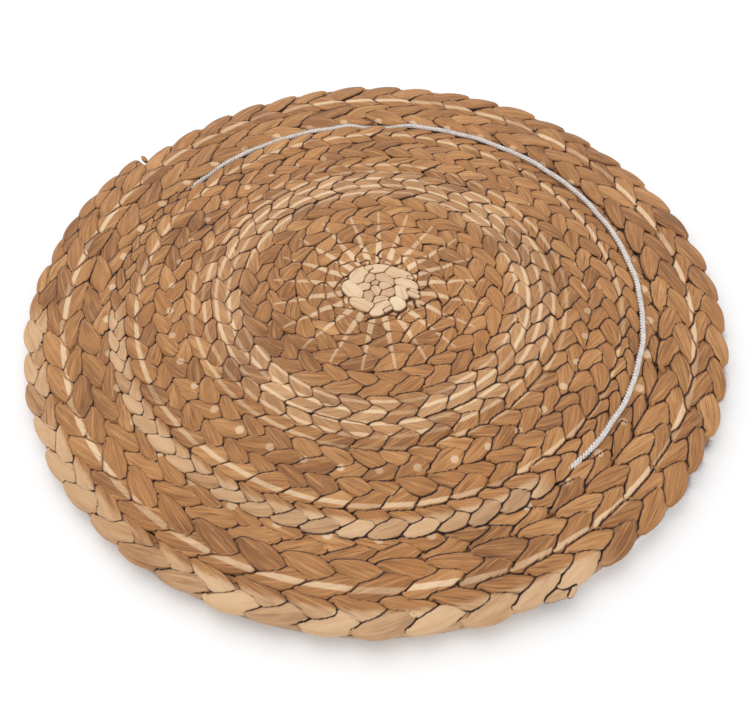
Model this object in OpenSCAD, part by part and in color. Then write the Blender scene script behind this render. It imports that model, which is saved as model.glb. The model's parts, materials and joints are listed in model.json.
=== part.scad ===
// Round woven seat pad: two flat coils of three-strand water hyacinth braid, sewn turn to turn,
// with a white cord in the joint between them and a felt backing sewn underneath.
// The felt lies on z = 0, and z points up through the middle of the pad.

/* [Braid] */
// Thickness of the braid
braid_t = 10; // [8:0.5:14]
// Thickness at a tapered end of a coil
tip_t = 5.5; // [3:0.5:8]
// Air between two turns of braid, and at every other seam
seam_gap = 0.2; // [0.1:0.05:0.4]
// Direction of the line on which both coils start and end, seen from above
coil_angle = 100; // [0:5:355]
// Part of a turn that is cut off each tapered end of a coil, in degrees
tip_cut = 45; // [30:5:90]

/* [Start] */
// Diameter of the pale start that the coil is wound round
start_d = 40; // [34:1:50]
// Diameter of the knot in its middle
knot_d = 20; // [14:1:24]
// How far the top of the knot is domed
knot_dome = 3; // [1:0.5:5]
// Radius of the edges of the ring round the knot
ring_edge_r = 3; // [1:0.5:4]

/* [Field] */
// Full turns of braid in the field
field_turns = 8; // [4:1:10]
// Distance from one turn to the next there
field_braid_w = 16.5; // [13:0.5:22]

/* [Border] */
// Full turns of braid in the border
border_turns = 2; // [1:1:4]
// Distance from one turn to the next there
border_braid_w = 21.5; // [16:0.5:28]

/* [Cord] */
// Diameter of the white cord
cord_d = 3.6; // [2.5:0.1:4.5]
// How far the cord rises above the braid at its high side
cord_proud = 1.4; // [0.5:0.1:1.8]
// How far it dips from the high side to the low side
cord_dip = 3; // [0:0.5:4]
// Direction of the high side, seen from above
cord_high_angle = 40; // [0:5:355]

/* [Felt] */
// Thickness of the felt backing
felt_t = 2.5; // [2:0.5:5]
// How much wider the felt is than the braid
felt_extra = 0; // [-2:0.5:6]
// How far the felt was sewn off centre
felt_shift = 2.2; // [0:0.1:4]
// Direction in which the felt shows past the rim, seen from above
felt_shift_angle = 35; // [0:5:355]

/* [Thread] */
// Diameter of the sewing thread
thread_d = 1.2; // [0.8:0.1:1.6]
// Length of a stitch
stitch_l = 9; // [6:0.5:12]
// Distance from one stitch to the next along a seam
stitch_pitch = 22; // [16:1:40]
// How far a stitch under the braid leans from the line of its seam, in degrees
stitch_lean = 4; // [0:0.5:8]
// Number of stitches round the rim of the felt
rim_stitches = 72; // [36:1:90]
// Distance of those stitches from the felt's edge, to their middle
rim_inset = 12; // [9:0.5:20]
// Distance of the outer ring seam from the edge of the field
ring_inset = 8; // [4:0.5:14]
// Distance from one stitch to the next along the ring seams
ring_pitch = 13.5; // [10:0.5:20]

/* [Hidden] */
straw = [0.69, 0.49, 0.33];
pale_straw = [0.87, 0.74, 0.60];
cotton = [0.90, 0.88, 0.85];
felt_white = [0.93, 0.92, 0.90];
thread_tan = [0.78, 0.66, 0.50];

ring_step = 6;                         // largest angle between two sections of a turn
start_r = start_d / 2;
field_r = start_r + field_turns * field_braid_w;
border_r = field_r + cord_d + 2 * seam_gap;
rim_r = border_r + border_turns * border_braid_w;
cord_ring_r = (field_r + border_r) / 2;
felt_r = rim_r + felt_extra / 2;
rim_seam_r = felt_r - rim_inset;
ring_seams = [(start_r + field_r) / 2, field_r - ring_inset];
seam_depth = thread_d + seam_gap;
braid_z = felt_t;                      // the braid rests on the felt
braid_top = braid_z + braid_t;
cord_high_z = braid_top + cord_proud - cord_d / 2;     // centre of the cord at its high side
cord_low_z = cord_high_z - cord_dip;

// The crown of a turn's section, from its right side over the top, as shares of half its width and
// of its thickness
crown = [[1, 0.65], [0.85, 0.89], [0.5, 1], [-0.5, 1], [-0.85, 0.89], [-1, 0.65]];

// The groove that two turns leave under their seam, for the stitches: each turn is cut in this far
// and this high, and slopes up to its side from there
stitch_reach = stitch_l / 2 * sin(stitch_lean) + stitch_l * stitch_l / 8 / start_r;
groove_w = thread_d / 2 + stitch_reach + seam_gap;
groove_h = thread_d + 2 * seam_gap;
groove_max = 0.4;                      // as a share of half the turn's width, where it tapers

// The radius between two turns, at coil angle phi. The first and last turns taper, so that a coil
// fills the ring from radius a to radius b and both its edges are round.
function edge_r(a, b, turns, phi) = a + (b - a) * max(0, min(1, phi / 360 / turns));
function turn_width(a, b, turns, phi) =
    edge_r(a, b, turns, phi) - edge_r(a, b, turns, phi - 360);
function turn_thickness(a, b, turns, phi) =
    tip_t + (braid_t - tip_t) * turn_width(a, b, turns, phi) * turns / (b - a);

// One section of the braid at coil angle phi. The coil winds outwards clockwise. Its inner edge is
// set out so far that the straight facets between two sections stay outside the circle.
function section_at(a, b, turns, phi) =
    let (inner = (edge_r(a, b, turns, phi - 360) + seam_gap / 2) / cos(ring_step / 2),
         outer = edge_r(a, b, turns, phi) - seam_gap / 2,
         mid = (inner + outer) / 2,
         half = (outer - inner) / 2,
         cut = min(groove_w, half * groove_max),
         thick = turn_thickness(a, b, turns, phi),
         foot = [[-half, groove_h + cut], [cut - half, groove_h], [cut - half, 0],
                 [half - cut, 0], [half - cut, groove_h], [half, groove_h + cut]],
         angle = coil_angle - phi)
    [for (p = concat([for (c = crown) [c.x * half, c.y * thick]], foot))
        [(mid + p.x) * cos(angle), (mid + p.x) * sin(angle), braid_z + p.y]];

// Turn number k of the coil that fills the ring from radius a to radius b
module coil_turn(a, b, turns, k) {
    from = 360 * (k - 1) + (k == 1 ? tip_cut : 0);
    to = 360 * k - (k == turns + 1 ? tip_cut : 0);
    steps = ceil((to - from) / ring_step);
    sides = 2 * len(crown);
    points = [for (i = [0 : steps]) each section_at(a, b, turns, from + (to - from) * i / steps)];
    skin = [for (i = [0 : steps - 1], j = [0 : sides - 1])
        let (here = i * sides, next = here + sides, up = (j + 1) % sides)
        each [[here + j, next + j, next + up], [here + j, next + up, here + up]]];
    first_end = [for (j = [0 : sides - 1]) j];
    last_end = [for (j = [sides - 1 : -1 : 0]) steps * sides + j];
    color(straw) polyhedron(points, concat(skin, [first_end, last_end]));
}

// A ring of braid with a rounded top, for the pale start
module start_ring() {
    inner = knot_d / 2 + seam_gap / 2;
    outer = start_r - seam_gap / 2;
    color(pale_straw) translate([0, 0, braid_z]) rotate_extrude($fn = 96)
        translate([inner, 0]) rounded_bar(outer - inner, braid_t, ring_edge_r);
}

// The knot that the first strands are tied in, a low dome
module start_knot() {
    r = knot_d / 2 - seam_gap / 2;
    ball = (r * r + knot_dome * knot_dome) / (2 * knot_dome);
    color(pale_straw) translate([0, 0, braid_z]) intersection() {
        cylinder(r = r, h = braid_t, $fn = 96);
        translate([0, 0, braid_t - ball]) sphere(r = ball, $fn = 96);
    }
}

// A rectangle with quarter-round corners, made of exact arcs
module rounded_bar(width, height, round) {
    union() {
        translate([round, 0]) square([width - 2 * round, height]);
        translate([0, round]) square([width, height - 2 * round]);
        for (x = [round, width - round], y = [round, height - round])
            translate([x, y]) circle(r = round, $fn = 48);
    }
}

// The cord lies in the joint between field and border, a little tilted, so one side stands proud
module white_cord() {
    tilt = asin((cord_high_z - cord_low_z) / 2 / cord_ring_r);
    color(cotton) translate([0, 0, (cord_high_z + cord_low_z) / 2])
        rotate([0, 0, cord_high_angle]) rotate([0, -tilt, 0])
            rotate_extrude($fn = 180) translate([cord_ring_r, 0]) circle(d = cord_d, $fn = 32);
}

// Lacing that crosses the joint under the cord, and ties border to field
module cord_lacing() {
    count = floor(2 * PI * cord_ring_r / stitch_pitch);
    length = border_r - field_r - seam_gap;
    lacing_z = cord_low_z - cord_d / 2 - seam_gap - thread_d / 2;
    color(thread_tan) for (i = [0 : count - 1])
        rotate([0, 0, i * 360 / count]) translate([field_r + seam_gap / 2, 0, lacing_z])
            rotate([0, 90, 0]) cylinder(d = thread_d, h = length, $fn = 24);
}

// Stitches in the groove under the seam between two turns, leaning one way and then the other
module seam_stitches(a, b, turns) {
    clear_of_tip = 180;                // degrees of seam left unsewn at each tapered end
    stitch_z = braid_z + thread_d / 2 + seam_gap;
    color(thread_tan) for (k = [0 : turns - 1]) {
        count = 2 * floor(PI * edge_r(a, b, turns, 360 * (k + 0.5)) / stitch_pitch);
        for (i = [0 : count - 1]) {
            phi = 360 * (k + i / count);
            if (phi >= clear_of_tip && phi <= 360 * turns - clear_of_tip)
                rotate([0, 0, coil_angle - phi])
                    translate([edge_r(a, b, turns, phi), 0, stitch_z])
                        rotate([0, 0, i % 2 == 0 ? stitch_lean : -stitch_lean])
                            rotate([90, 0, 0]) cylinder(d = thread_d, h = stitch_l, center = true, $fn = 24);
        }
    }
}

// The felt, pressed in from below along its seams: a slot for each stitch that crosses the rim,
// and two narrow rings
module felt_backing() {
    slot_l = stitch_l + 2 * seam_gap;
    slot_w = thread_d + 2 * seam_gap;
    color(felt_white) difference() {
        felt_place() cylinder(r = felt_r, h = felt_t, $fn = 180);
        rim_seam() translate([-slot_l / 2, -slot_w / 2, -1]) cube([slot_l, slot_w, seam_depth + 1]);
        for (r = ring_seams) rotate_extrude($fn = 180)
            translate([r - slot_w / 2, -1]) square([slot_w, seam_depth + 1]);
    }
}
module felt_place() {
    rotate([0, 0, felt_shift_angle]) translate([felt_shift, 0, 0]) children();
}
// Places a child at every stitch of the rim seam, with x pointing outwards
module rim_seam() {
    felt_place() for (i = [0 : rim_stitches - 1])
        rotate([0, 0, i * 360 / rim_stitches]) translate([rim_seam_r, 0, 0]) children();
}

// Stitches across the rim seam
module felt_rim_stitches() {
    color(thread_tan) rim_seam() translate([-stitch_l / 2, 0, seam_depth - thread_d / 2])
        rotate([0, 90, 0]) cylinder(d = thread_d, h = stitch_l, $fn = 24);
}

// Running stitches along the two ring seams
module felt_ring_stitches() {
    color(thread_tan) for (r = ring_seams) {
        count = floor(2 * PI * r / ring_pitch);
        arc = stitch_l * 180 / PI / r;
        for (i = [0 : count - 1])
            rotate([0, 0, i * 360 / count]) translate([0, 0, seam_depth - thread_d / 2])
                rotate_extrude(angle = arc, $fn = 180) translate([r, 0])
                    circle(d = thread_d, $fn = 24);
    }
}

start_knot();
start_ring();
for (k = [1 : field_turns + 1])
    coil_turn(start_r, field_r, field_turns, k);
white_cord();
cord_lacing();
for (k = [1 : border_turns + 1])
    coil_turn(border_r, rim_r, border_turns, k);
seam_stitches(start_r, field_r, field_turns);  // field_seam_stitches
seam_stitches(border_r, rim_r, border_turns);  // border_seam_stitches
felt_backing();
felt_rim_stitches();
felt_ring_stitches();
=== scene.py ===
import json
import math
import bpy
import numpy as np
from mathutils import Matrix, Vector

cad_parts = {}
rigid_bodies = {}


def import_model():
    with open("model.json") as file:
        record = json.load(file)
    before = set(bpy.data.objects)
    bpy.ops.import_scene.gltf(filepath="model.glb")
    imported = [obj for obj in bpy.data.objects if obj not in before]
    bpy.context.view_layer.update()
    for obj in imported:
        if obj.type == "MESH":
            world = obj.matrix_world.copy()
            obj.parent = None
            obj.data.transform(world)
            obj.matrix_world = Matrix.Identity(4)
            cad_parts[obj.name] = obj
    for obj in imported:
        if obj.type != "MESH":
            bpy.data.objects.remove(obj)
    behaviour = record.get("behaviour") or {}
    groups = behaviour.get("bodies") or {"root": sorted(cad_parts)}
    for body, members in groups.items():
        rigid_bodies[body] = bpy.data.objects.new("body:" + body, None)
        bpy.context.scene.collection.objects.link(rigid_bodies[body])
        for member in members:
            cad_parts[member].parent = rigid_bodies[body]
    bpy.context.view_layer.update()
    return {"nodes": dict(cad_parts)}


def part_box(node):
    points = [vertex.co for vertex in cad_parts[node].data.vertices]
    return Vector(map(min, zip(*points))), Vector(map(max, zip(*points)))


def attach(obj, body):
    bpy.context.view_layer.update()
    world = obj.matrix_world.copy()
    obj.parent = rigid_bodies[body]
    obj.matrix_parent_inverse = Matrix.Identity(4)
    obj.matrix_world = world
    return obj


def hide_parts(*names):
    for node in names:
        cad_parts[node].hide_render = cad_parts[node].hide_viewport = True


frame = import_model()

mm = 0.001
seamGap = 0.2 * mm              # air between two turns of braid


def boxOf(node):
    low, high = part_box(node)
    return np.array(low), np.array(high)


def turnNames(start):
    return sorted(n for n in frame["nodes"] if n.startswith(start))


# The pad's own radii and heights, from the frame
cordWide = 3.6 * mm
knotR = boxOf("start_knot")[1][0] + seamGap / 2
startR = boxOf("start_ring")[1][0] + seamGap / 2
braidLow = boxOf("border_turn_2")[0][2]
braidTop = boxOf("border_turn_2")[1][2]
rimR = boxOf("border_turn_3")[1][0] + seamGap / 2
cordRingR = boxOf("white_cord")[1][1] - cordWide / 2
fieldR = cordRingR - cordWide / 2 - seamGap
borderR = cordRingR + cordWide / 2 + seamGap
print("radii in mm", [round(float(r) * 1000, 2) for r in (knotR, startR, fieldR, borderR, rimR)])


def smooth(x, low, high):
    t = np.clip((x - low) / (high - low), 0, 1)
    return t * t * (3 - 2 * t)


def addMesh(name, points, faces, layers=None, uv=None):
    mesh = bpy.data.meshes.new(name)
    mesh.from_pydata(points.tolist(), [], [list(f) for f in faces])
    for key, values in (layers or {}).items():
        layer = mesh.attributes.new(key, "FLOAT", "POINT")
        layer.data.foreach_set("value", np.asarray(values, np.float32))
    if uv is not None:
        uvLayer = mesh.uv_layers.new(name="UVMap")
        corner = np.zeros(len(mesh.loops), np.int32)
        mesh.loops.foreach_get("vertex_index", corner)
        uvLayer.data.foreach_set("uv", np.asarray(uv, np.float32)[corner].ravel())
    mesh.polygons.foreach_set("use_smooth", [True] * len(mesh.polygons))
    mesh.update()
    piece = bpy.data.objects.new(name, mesh)
    bpy.context.scene.collection.objects.link(piece)
    return piece


# Faces of a tube of rings, numbered from base. Its ends are capped unless it is closed. The rings run the
# other way round on a tube that is turned.
def tubeFaces(rings, sides, base, closed=False, turned=False):
    i = np.arange(rings if closed else rings - 1)[:, None]
    j = np.arange(sides)[None, :]
    here, there, nextSide = i * sides, (i + 1) % rings * sides, (j + 1) % sides
    quads = np.stack([here + j, there + j, there + nextSide, here + nextSide], -1).reshape(-1, 4) + base
    faces = quads.tolist()
    if not closed:
        faces.append([base + side for side in range(sides)])
        faces.append([base + (rings - 1) * sides + side for side in range(sides - 1, -1, -1)])
    return [face[::-1] for face in faces] if turned else faces


# The directions along a path, level across it, and up
def pathFrame(path, closed=False):
    along = np.roll(path, -1, 0) - np.roll(path, 1, 0) if closed else np.gradient(path, axis=0)
    along /= np.linalg.norm(along, axis=1)[:, None]
    across = np.cross(along, [0, 0, 1.0])
    across /= np.linalg.norm(across, axis=1)[:, None]
    return along, across, np.cross(across, along)


# The two coils of three-strand braid
fieldBraid = {
    "inner": startR,
    "outer": fieldR,
    "turns": len(turnNames("field_turn_")) - 1,
    "leafPitch": 16.5 * mm,     # from one leaf to the next along a row
    "leafWide": 0.74,           # half width of a leaf, as a share of half the row's
    "sway": 0.97,               # how far a strand swings to each side, likewise
    "strandThick": 4.2 * mm,
    "seed": 11,
    # (angle along the coil in degrees, how far the edge there bulges outwards in mm)
    "wander": ((-360, -1.4), (0, -1.0), (180, 0), (3010, 0), (3045, 5.5), (3190, 5.5), (3235, 0)),
    "openRim": False,
}
borderBraid = {
    "inner": borderR,
    "outer": rimR,
    "turns": len(turnNames("border_turn_")) - 1,
    "leafPitch": 24.5 * mm,
    "leafWide": 0.74,
    "sway": 0.97,
    "strandThick": 4.8 * mm,
    "seed": 23,
    "wander": ((-220, 0), (-190, 2.0), (-95, 2.0), (-50, 0), (0, 0), (80, 1.2), (160, 2.6), (235, 2.0),
               (325, 0.5), (415, -1.5), (520, -2.6), (595, -1.8), (680, -0.6), (720, 0), (870, 0.5),
               (910, 3.6), (1030, 4.0), (1075, 0.5)),
    "openRim": True,            # the last turn's outer side is in the open, so it isn't in shadow
}
coil = {
    "lineAngle": math.radians(100),     # both coils start and end on this line
    "tipCut": math.radians(45),
    "ringsPerPeriod": 64,
    "sidesAbove": 16,
    "sidesBelow": 7,
    "boxed": 0.80,              # 1 is a round section, less is flatter on top
}
sectionAngles = np.concatenate([np.linspace(0, math.pi, coil["sidesAbove"] + 1),
                                np.linspace(math.pi, 2 * math.pi, coil["sidesBelow"] + 1)[1:-1]])
# A map of the whole pad from above, to find where one leaf ends and the next begins: it sets the painted shade
# along the lines between leaves, and keeps marks from crossing them
seamMap = {
    "cell": 0.35 * mm,
    "reach": 210 * mm,
    "step": 0.3 * mm,
    "across": 45,
    "soft": 0.40 * mm,          # half the width of the painted shade line between two leaves
    "crown": 0.9 * mm,          # how much the middle of a leaf counts as higher than its sides
}
# One strand's way through half a period: from under the other side's leaf out to the edge of the row,
# which is the leaf that shows, then back underneath. Places are shares of the half period.
strandWay = {
    "edgeAt": 0.76,             # where it reaches the edge
    "past": 0.10,               # how far past the middle of the row it starts
    "short": 0.06,              # and how far short of the edge it turns back
    "steep": 0.045,             # how quickly it rises and dives
    "tipDrop": 0.30,            # how much lower the leaf lies where the next one covers its tip
    "tipLong": 0.15,
    "tailDrop": 0.12,
    "tailLong": 0.13,
    "highMiddle": 0.38,
    "highHalf": 0.46,
    "leafMiddle": 0.36,
    "leafHalf": 0.49,
    "fullness": 2.1,            # 2 is a pointed lens, more is fuller
    "underWide": 0.42,          # width of the hidden part, as a share of the leaf's
    "underFrom": 0.43,
    "underOver": 0.04,
}
# How the leaves differ from one another, and what a narrow row does to them. A spread is for one step of
# leafNoise, which goes from -2 to 2.
leafForm = {
    "phaseSpread": 0.13,
    "sideSpread": 0.035,
    "liftSpread": 0.10,
    "wideSpread": 0.09,
    "rollSpread": 0.06,
    "rollOut": -0.05,           # how far a leaf leans to its side of the row, in radians
    "rollStep": -0.06,
    "leastShare": 0.25,         # a row narrower than this share of a full one gets no thinner
    "leastHalf": 0.66,          # half width that the leaves keep in a narrow row, as a share of a full one's
    "lowRow": 0.55,             # height of the narrowest row, as a share of a full one's
    "thinLeaf": 0.6,
    "bulgeLow": 26 * mm,        # where the edge bulges in the last turn, the row gets higher by this measure
    "ridges": range(2, 6),      # long ridges in a leaf's surface, waves across its width
    "ridgeHigh": 0.14 * mm,
    "hidden": 3 * mm,           # depth added to a strand where it runs underneath, which gives it painted shade there
    "bareFrom": 0.12,           # the open rim starts this share of the row's half short of the edge
    "bareLight": 0.95,
}


def wavesOfStrand(samples=1440):
    way = strandWay
    u = np.arange(samples) / samples * 2            # two half periods, to the right and to the left
    tau = u % 1
    side = np.where(u < 1, 1.0, -1.0)
    full = 1 - way["short"]
    out = -way["past"] + (full + way["past"]) * tau / way["edgeAt"]
    back = full - (full - way["past"]) * (tau - way["edgeAt"]) / (1 - way["edgeAt"])
    sway = side * np.where(tau < way["edgeAt"], out, back)
    highGap = (tau - way["highMiddle"] + 0.5) % 1 - 0.5
    high = np.tanh((way["highHalf"] - np.abs(highGap)) / way["steep"])
    gap = (tau - way["leafMiddle"] + 0.5) % 1 - 0.5
    tipGap = (tau + 0.5) % 1 - 0.5
    high = high - way["tipDrop"] * np.exp(-(tipGap / way["tipLong"]) ** 2)
    high = high - way["tailDrop"] * np.exp(-((tau - way["edgeAt"]) / way["tailLong"]) ** 2)
    high = np.maximum(high, -1)
    leaf = np.clip(1 - np.abs(gap / way["leafHalf"]) ** way["fullness"], 0, 1)
    under = np.clip((np.abs(gap) - way["underFrom"]) / way["underOver"], 0, 1)
    wide = np.maximum(leaf, way["underWide"] * under)

    def soften(values, reach):
        n = int(samples * reach)
        kernel = np.exp(-(np.arange(-2 * n, 2 * n + 1) / n) ** 2)
        kernel /= kernel.sum()
        padded = np.concatenate([values[-2 * n:], values, values[:2 * n]])
        return np.convolve(padded, kernel, "valid")
    return soften(sway, 0.012), soften(high, 0.006), soften(wide, 0.006)


swayWave, highWave, wideWave = wavesOfStrand()


def wave(table, t):
    n = len(table)
    x = (t / (2 * math.pi) % 1) * n
    i = np.floor(x).astype(int) % n
    f = x - np.floor(x)
    return table[i] * (1 - f) + table[(i + 1) % n] * f


def edgeBulge(braid, phi):
    at, bulge = np.array(braid["wander"]).T
    return np.interp(np.degrees(phi), at, bulge) * mm


def edgeRadius(braid, phi):
    share = np.clip(phi / (2 * math.pi) / braid["turns"], 0, 1)
    return braid["inner"] + (braid["outer"] - braid["inner"]) * share + edgeBulge(braid, phi)


# Where the leaves of the two sides meet, and how far it is from there to the row's two edges. In the
# first turn the leaves of the inner side are pushed under, so they meet nearer to its inner edge.
def rowShape(braid, phi):
    inner = edgeRadius(braid, phi - 2 * math.pi)
    outer = edgeRadius(braid, phi)
    fullWide = (braid["outer"] - braid["inner"]) / braid["turns"]
    squeezed = np.clip(1 - (outer - inner) / fullWide, 0, 0.8) * (phi < 2 * math.pi)
    mid = inner + (outer - inner) * (0.5 - 0.4 * squeezed)
    return mid, mid - inner, outer - mid


# Half the width of a full row, and what share of it a row has here
def rowShare(braid, innerHalf, outerHalf):
    fullHalf = (braid["outer"] - braid["inner"]) / braid["turns"] / 2
    return fullHalf, np.clip((innerHalf + outerHalf) / fullHalf / 2, leafForm["leastShare"], 1)


# A value for each leaf from a table of random ones, going over smoothly from leaf to leaf
def leafNoise(table, t):
    x = t / math.pi - 0.35
    i = np.floor(x).astype(int)
    f = x - i
    f = f * f * (3 - 2 * f)
    n = len(table)
    return table[i % n] * (1 - f) + table[(i + 1) % n] * f


# How far some points lie in the shade between leaves. The outer side of the last turn is in the open.
def shadeDepth(braid, phi, rings, depth, outerHalf, fullHalf):
    if not braid["openRim"]:
        return depth
    edge = edgeRadius(braid, phi) - outerHalf * leafForm["bareFrom"]
    tipAt = 2 * math.pi * braid["turns"] - coil["tipCut"]
    inTheOpen = smooth(phi, tipAt - 0.05, tipAt + 0.05)
    pointR = np.hypot(rings[:, :, 0], rings[:, :, 1])
    bare = smooth(pointR - edge[:, None], 0, leafForm["bareFrom"] * fullHalf) * inTheOpen[:, None]
    return depth * (1 - leafForm["bareLight"] * bare)


# The rings of points along one strand: phi is how far the coil has gone round, t how far the weave has
# got, and a the angles round a section. Also each ring's leaf number, and how deep each point lies, which sets
# its painted shade.
def strandRings(braid, phi, t, strand, shape, a):
    form = leafForm
    mid, innerHalf, outerHalf = rowShape(braid, phi)
    fullHalf, share = rowShare(braid, innerHalf, outerHalf)
    own = t + 2 * math.pi * strand / 3              # the strand's own place in the weave

    def uneven(what):
        return leafNoise(shape[what][strand], own)

    late = own + uneven("phase") * form["phaseSpread"]
    swing = wave(swayWave, late)
    high = wave(highWave, late)
    bulge = edgeBulge(braid, phi) / form["bulgeLow"] * (1 - share) * (phi > 2 * math.pi * braid["turns"])
    height = (braidTop - braidLow) * (form["lowRow"] + (1 - form["lowRow"]) * share + bulge)
    thick = braid["strandThick"] / 2 * (form["thinLeaf"] + (1 - form["thinLeaf"]) * share)
    z = braidLow + height / 2 + (height / 2 - thick) * high * (1 + form["liftSpread"] * uneven("lift"))
    half = innerHalf + (outerHalf - innerHalf) * (0.5 + 0.5 * np.tanh(swing / 0.15))
    r = mid + half * (braid["sway"] * swing + form["sideSpread"] * uneven("side"))
    wide = np.maximum(half, form["leastHalf"] * fullHalf) * braid["leafWide"] * wave(wideWave, late)
    wide = wide * (1 + form["wideSpread"] * uneven("wide"))
    theta = coil["lineAngle"] - phi
    path = np.stack([r * np.cos(theta), r * np.sin(theta), z], 1)
    along, across, up = pathFrame(path)
    outward = np.stack([np.cos(theta), np.sin(theta), 0 * theta], 1)
    roll = form["rollOut"] * swing + form["rollStep"] * np.tanh(swing / 0.2)
    roll = roll + form["rollSpread"] * uneven("roll")
    roll = (roll * np.sign((across * outward).sum(1)))[:, None]
    leafAcross = across * np.cos(roll) + up * np.sin(roll)
    leafUp = up * np.cos(roll) - across * np.sin(roll)
    c, s = np.cos(a), np.sin(a)
    boxedAcross = np.sign(c) * np.abs(c) ** coil["boxed"]
    boxedUp = np.sign(s) * np.abs(s) ** coil["boxed"]
    ridge = np.zeros((len(t), len(a)))
    for m in form["ridges"]:
        size = leafNoise(shape["ridge"][strand][m], own)
        turn = leafNoise(shape["ridgeTurn"][strand][m], own) * 2
        ridge += size[:, None] * np.cos(m * math.pi * boxedAcross[None, :] * 0.9 + turn[:, None]) / m
    ridge *= form["ridgeHigh"] * np.abs(s)[None, :]
    u = wide[:, None] * boxedAcross[None, :]
    v = thick[:, None] * boxedUp[None, :] + ridge * np.sign(boxedUp)[None, :]
    rings = path[:, None, :] + leafAcross[:, None, :] * u[..., None] + leafUp[:, None, :] * v[..., None]
    leaf = np.floor(own / math.pi + 0.15).astype(int)
    depth = thick[:, None] - v + np.clip(-high, 0, 1)[:, None] * form["hidden"]
    return rings, own, leaf, shadeDepth(braid, phi, rings, depth, outerHalf, fullHalf)


# The random tables that make each leaf of a braid's three strands its own
def strandShape(rng, n=4096):
    def bell():
        return [rng.normal(size=n).clip(-2, 2) for strand in range(3)]

    def bellRidges():
        return [{m: rng.normal(size=n) for m in leafForm["ridges"]} for strand in range(3)]

    shape = {what: bell() for what in ("phase", "side", "lift", "wide", "roll")}
    shape["ridge"] = bellRidges()
    shape["ridgeTurn"] = bellRidges()
    shape["tone"] = [rng.random(n) for strand in range(3)]
    return shape


# The shadowed inside of a row: a low bar of folded leaf under its strands
def braidBed(braid, phi, base):
    mid, innerHalf, outerHalf = rowShape(braid, phi)
    fullHalf, share = rowShare(braid, innerHalf, outerHalf)
    theta = coil["lineAngle"] - phi
    low = braidLow + 0.3 * mm + 0 * phi
    high = braidLow + (braidTop - braidLow) * 0.80 * (0.45 + 0.55 * share)
    rings = np.zeros((len(phi), 4, 3))
    for j, (across, z) in enumerate([(-0.94, low), (0.94, low), (0.94, high), (-0.94, high)]):
        r = mid + across * (outerHalf if across > 0 else innerHalf)
        rings[:, j] = np.stack([r * np.cos(theta), r * np.sin(theta), z], 1)
    return rings.reshape(-1, 3), tubeFaces(len(phi), 4, base, turned=True)


# How far the coil has gone round, and how far its strands have got in their weave, at even steps
def coilGrid(braid):
    phiGrid = np.linspace(0.01, 2 * math.pi * (braid["turns"] + 1) - 0.01, 20000)
    mid, innerHalf, outerHalf = rowShape(braid, phiGrid)
    fullHalf, share = rowShare(braid, innerHalf, outerHalf)
    period = 3 * braid["leafPitch"] * share ** 0.15
    rate = 2 * math.pi * mid / period
    return phiGrid, np.concatenate([[0], np.cumsum((rate[1:] + rate[:-1]) / 2 * np.diff(phiGrid))])


# How long a stretch of the weave is, in metres
def weaveLength(braid, t):
    return t / (2 * math.pi) * 3 * braid["leafPitch"]


mapCount = int(2 * seamMap["reach"] / seamMap["cell"])
mapHeight = np.zeros(mapCount ** 2)
mapName = np.zeros(mapCount ** 2, int)


# Puts some points on the map; where two lie on the same cell the higher one stays
def layDown(points, z, names):
    place = np.clip(((points[:, :2] + seamMap["reach"]) / seamMap["cell"]).astype(int), 0, mapCount - 1)
    place = place[:, 0] * mapCount + place[:, 1]
    order = np.argsort(z)
    newHeight, newName = np.zeros(mapCount ** 2), np.zeros(mapCount ** 2, int)
    newHeight[place[order]] = z[order]
    newName[place[order]] = names[order]
    above = newHeight > mapHeight
    mapHeight[above] = newHeight[above]
    mapName[above] = newName[above]


def layDownBraid(braid, k):
    u = np.linspace(-1, 1, seamMap["across"])
    a = np.arccos(np.sign(u) * np.abs(u) ** (1 / coil["boxed"]))
    shape = strandShape(np.random.default_rng(braid["seed"]))
    phiGrid, tGrid = coilGrid(braid)
    t = np.linspace(tGrid[0], tGrid[-1], int(weaveLength(braid, tGrid[-1]) / seamMap["step"]))
    phi = np.interp(t, tGrid, phiGrid)
    kept = (phi > coil["tipCut"]) & (phi < (braid["turns"] + 1) * 2 * math.pi - coil["tipCut"])
    crown = np.tile(seamMap["crown"] * u * u, kept.sum())
    for strand in range(3):
        rings, own, leaf, depth = strandRings(braid, phi, t, strand, shape, a)
        points = rings[kept].reshape(-1, 3)
        layDown(points, points[:, 2] - crown, np.repeat(1 + leaf[kept] * 8 + strand * 2 + k, len(u)))


# Stray cells of the map take the name that most of the cells around them have
def withoutStrays(label):
    window = [(i, j) for i in range(-2, 3) for j in range(-2, 3)]
    moved = {d: np.roll(label, d, (0, 1)) for d in window}
    most, votes = label.copy(), np.zeros((mapCount, mapCount), int)
    for d in ((0, 0), (-1, -1), (-1, 1), (1, -1), (1, 1), (0, 2), (0, -2), (2, 0), (-2, 0)):
        found = sum((moved[other] == moved[d]).astype(np.int8) for other in window)
        better = found > votes
        votes[better] = found[better]
        most[better] = moved[d][better]
    return np.where(label != 0, most, 0)


# 1 on the line between two leaves as seen from above, fading to 0 on both sides of it
def seamsFromAbove():
    label = withoutStrays(mapName.reshape(mapCount, mapCount))
    seam = np.zeros((mapCount, mapCount))
    for axis in (0, 1):
        there = np.roll(label, -1, axis)
        seam = np.maximum(seam, (label != there) & (label != 0) & (there != 0))
    spread = seamMap["soft"] / seamMap["cell"]
    steps = range(-int(3 * spread), int(3 * spread) + 1)
    kernel = np.exp(-(np.array(steps) / spread) ** 2 / 2)
    kernel /= kernel.sum()
    for axis in (0, 1):
        seam = sum(w * np.roll(seam, d, axis) for w, d in zip(kernel, steps))
    return np.clip(seam * spread * 1.9, 0, 1)


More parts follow.
